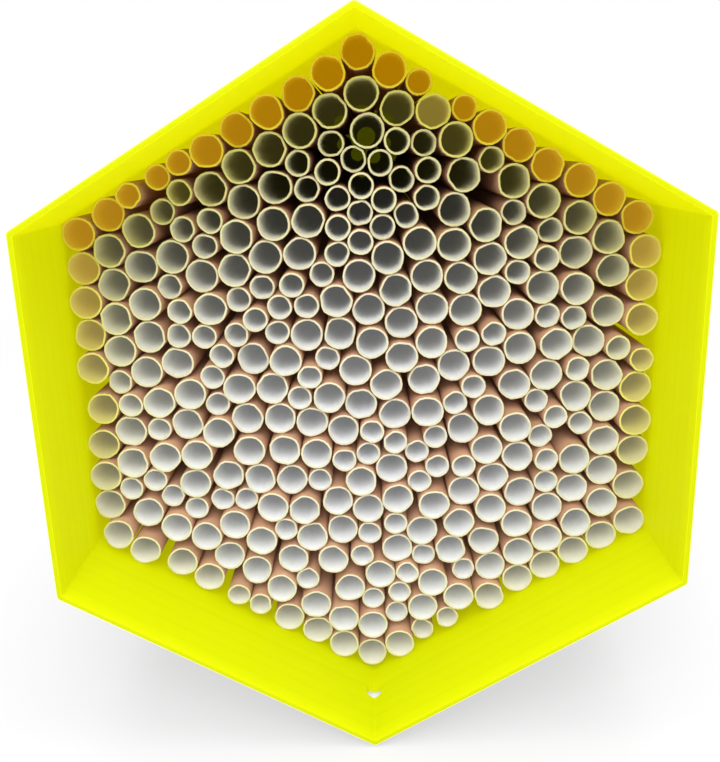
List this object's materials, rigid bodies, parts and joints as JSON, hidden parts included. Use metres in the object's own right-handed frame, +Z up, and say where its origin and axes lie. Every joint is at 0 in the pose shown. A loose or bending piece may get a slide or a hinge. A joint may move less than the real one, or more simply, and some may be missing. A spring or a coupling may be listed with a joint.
{
  "type": "insect hotel",
  "caption": "Hexagonal open-front housing standing on a corner, closed at the back, filled with horizontal rolled paper nesting tubes in two bores.",
  "frame": {"origin": "centre of the screw hole at the housing's flat back face", "axes": "+Z up through the top corner, the open front faces -Y, +Y points into the wall"},
  "size_m": [0.166, 0.1833, 0.1916],
  "materials": {
    "housing_plastic": "translucent fluorescent yellow, faint printed layers",
    "large_tube_paper": "kraft outside, pale inside",
    "small_tube_paper": "kraft outside, pale inside"
  },
  "bodies": {
    "housing": {"hexagon_housing": "housing_plastic"},
    "stack_01": {"large_tubes_stack_01_lower": "large_tube_paper", "large_tubes_stack_01_upper": "large_tube_paper"},
    "stack_02": {"large_tubes_stack_02_lower": "large_tube_paper", "large_tubes_stack_02_upper": "large_tube_paper", "small_tubes_stack_02": "small_tube_paper"},
    "stack_03": {"large_tubes_stack_03_lower": "large_tube_paper", "large_tubes_stack_03_upper": "large_tube_paper", "small_tubes_stack_03": "small_tube_paper"},
    "stack_04": {"large_tubes_stack_04_lower": "large_tube_paper", "large_tubes_stack_04_upper": "large_tube_paper", "small_tubes_stack_04": "small_tube_paper"},
    "stack_05": {"large_tubes_stack_05_lower": "large_tube_paper", "large_tubes_stack_05_upper": "large_tube_paper", "small_tubes_stack_05": "small_tube_paper"},
    "stack_06": {"large_tubes_stack_06_lower": "large_tube_paper", "large_tubes_stack_06_upper": "large_tube_paper", "small_tubes_stack_06": "small_tube_paper"},
    "stack_07": {"large_tubes_stack_07_lower": "large_tube_paper", "large_tubes_stack_07_upper": "large_tube_paper", "small_tubes_stack_07": "small_tube_paper"},
    "stack_08": {"large_tubes_stack_08_lower": "large_tube_paper", "large_tubes_stack_08_upper": "large_tube_paper", "small_tubes_stack_08": "small_tube_paper"},
    "stack_09": {"large_tubes_stack_09_lower": "large_tube_paper", "large_tubes_stack_09_upper": "large_tube_paper", "small_tubes_stack_09": "small_tube_paper"},
    "stack_10": {"large_tubes_stack_10_lower": "large_tube_paper", "large_tubes_stack_10_upper": "large_tube_paper", "small_tubes_stack_10": "small_tube_paper"},
    "stack_11": {"large_tubes_stack_11_lower": "large_tube_paper", "large_tubes_stack_11_upper": "large_tube_paper", "small_tubes_stack_11": "small_tube_paper"},
    "stack_12": {"large_tubes_stack_12_lower": "large_tube_paper", "large_tubes_stack_12_upper": "large_tube_paper", "small_tubes_stack_12": "small_tube_paper"},
    "stack_13": {"large_tubes_stack_13_lower": "large_tube_paper", "large_tubes_stack_13_upper": "large_tube_paper", "small_tubes_stack_13": "small_tube_paper"},
    "stack_14": {"large_tubes_stack_14_lower": "large_tube_paper", "large_tubes_stack_14_upper": "large_tube_paper", "small_tubes_stack_14": "small_tube_paper"},
    "stack_15": {"large_tubes_stack_15_lower": "large_tube_paper", "large_tubes_stack_15_upper": "large_tube_paper", "small_tubes_stack_15": "small_tube_paper"},
    "stack_16": {"large_tubes_stack_16_lower": "large_tube_paper", "large_tubes_stack_16_upper": "large_tube_paper", "small_tubes_stack_16": "small_tube_paper"},
    "stack_17": {"large_tubes_stack_17_lower": "large_tube_paper", "large_tubes_stack_17_upper": "large_tube_paper", "small_tubes_stack_17": "small_tube_paper"},
    "stack_18": {"large_tubes_stack_18_lower": "large_tube_paper", "large_tubes_stack_18_upper": "large_tube_paper", "small_tubes_stack_18": "small_tube_paper"},
    "stack_19": {"large_tubes_stack_19_lower": "large_tube_paper", "large_tubes_stack_19_upper": "large_tube_paper", "small_tubes_stack_19": "small_tube_paper"}
  },
  "joints": [
    {"name": "stack_01_slide", "type": "slide", "parent": "housing", "child": "stack_01", "axis": [0, -1, 0], "range_m": [0, 0.12]},
    {"name": "stack_02_slide", "type": "slide", "parent": "housing", "child": "stack_02", "axis": [0, -1, 0], "range_m": [0, 0.12]},
    {"name": "stack_03_slide", "type": "slide", "parent": "housing", "child": "stack_03", "axis": [0, -1, 0], "range_m": [0, 0.12]},
    {"name": "stack_04_slide", "type": "slide", "parent": "housing", "child": "stack_04", "axis": [0, -1, 0], "range_m": [0, 0.12]},
    {"name": "stack_05_slide", "type": "slide", "parent": "housing", "child": "stack_05", "axis": [0, -1, 0], "range_m": [0, 0.12]},
    {"name": "stack_06_slide", "type": "slide", "parent": "housing", "child": "stack_06", "axis": [0, -1, 0], "range_m": [0, 0.12]},
    {"name": "stack_07_slide", "type": "slide", "parent": "housing", "child": "stack_07", "axis": [0, -1, 0], "range_m": [0, 0.12]},
    {"name": "stack_08_slide", "type": "slide", "parent": "housing", "child": "stack_08", "axis": [0, -1, 0], "range_m": [0, 0.12]},
    {"name": "stack_09_slide", "type": "slide", "parent": "housing", "child": "stack_09", "axis": [0, -1, 0], "range_m": [0, 0.12]},
    {"name": "stack_10_slide", "type": "slide", "parent": "housing", "child": "stack_10", "axis": [0, -1, 0], "range_m": [0, 0.12]},
    {"name": "stack_11_slide", "type": "slide", "parent": "housing", "child": "stack_11", "axis": [0, -1, 0], "range_m": [0, 0.12]},
    {"name": "stack_12_slide", "type": "slide", "parent": "housing", "child": "stack_12", "axis": [0, -1, 0], "range_m": [0, 0.12]},
    {"name": "stack_13_slide", "type": "slide", "parent": "housing", "child": "stack_13", "axis": [0, -1, 0], "range_m": [0, 0.12]},
    {"name": "stack_14_slide", "type": "slide", "parent": "housing", "child": "stack_14", "axis": [0, -1, 0], "range_m": [0, 0.12]},
    {"name": "stack_15_slide", "type": "slide", "parent": "housing", "child": "stack_15", "axis": [0, -1, 0], "range_m": [0, 0.12]},
    {"name": "stack_16_slide", "type": "slide", "parent": "housing", "child": "stack_16", "axis": [0, -1, 0], "range_m": [0, 0.12]},
    {"name": "stack_17_slide", "type": "slide", "parent": "housing", "child": "stack_17", "axis": [0, -1, 0], "range_m": [0, 0.12]},
    {"name": "stack_18_slide", "type": "slide", "parent": "housing", "child": "stack_18", "axis": [0, -1, 0], "range_m": [0, 0.12]},
    {"name": "stack_19_slide", "type": "slide", "parent": "housing", "child": "stack_19", "axis": [0, -1, 0], "range_m": [0, 0.12]}
  ]
}
